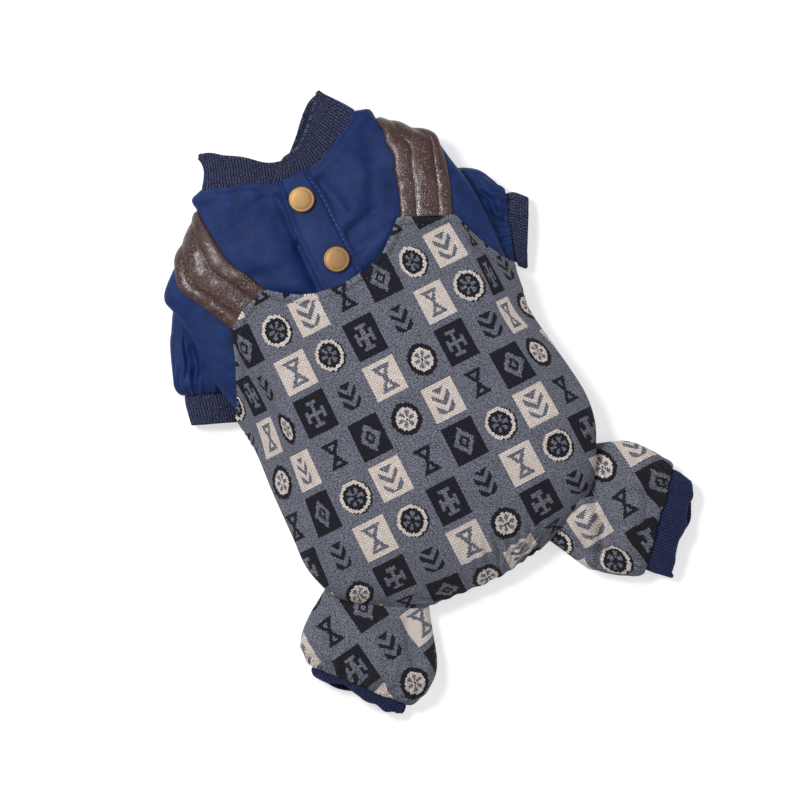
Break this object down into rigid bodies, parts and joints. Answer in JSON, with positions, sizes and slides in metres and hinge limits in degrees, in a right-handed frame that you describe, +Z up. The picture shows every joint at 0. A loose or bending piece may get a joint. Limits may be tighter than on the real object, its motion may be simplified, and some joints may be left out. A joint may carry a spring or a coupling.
{
  "type": "pet overalls",
  "caption": "Small dog's overalls lying belly down: patterned knit trunk and legs, navy shirt with rib collar and cuffs, leather-look straps and two snap caps.",
  "frame": {"origin": "middle of the footprint, on the surface that the garment lies on", "axes": "+Y towards the neck, +X to the wearer's right, +Z up through the garment's back"},
  "size_m": [0.2142, 0.2986, 0.0376],
  "materials": {
    "figured_knit": "matte heather-grey figured knit with charcoal and cream cells",
    "navy_cloth": "soft woven cloth with a slight sheen",
    "rib_knit": "matte rib knit with tan flecks",
    "brown_leather": "grained, semi-gloss",
    "brass": "brushed satin"
  },
  "bodies": {
    "root": {"overalls": "figured_knit", "leg_left": "figured_knit", "leg_right": "figured_knit", "leg_cuff_left": "rib_knit", "leg_cuff_right": "rib_knit", "shirt": "navy_cloth", "placket": "navy_cloth", "sleeve_left": "navy_cloth", "sleeve_right": "navy_cloth", "sleeve_cuff_left": "rib_knit", "sleeve_cuff_right": "rib_knit", "collar": "rib_knit", "strap_left": "brown_leather", "strap_right": "brown_leather", "snap_cap_upper": "brass", "snap_cap_lower": "brass"}
  },
  "joints": []
}
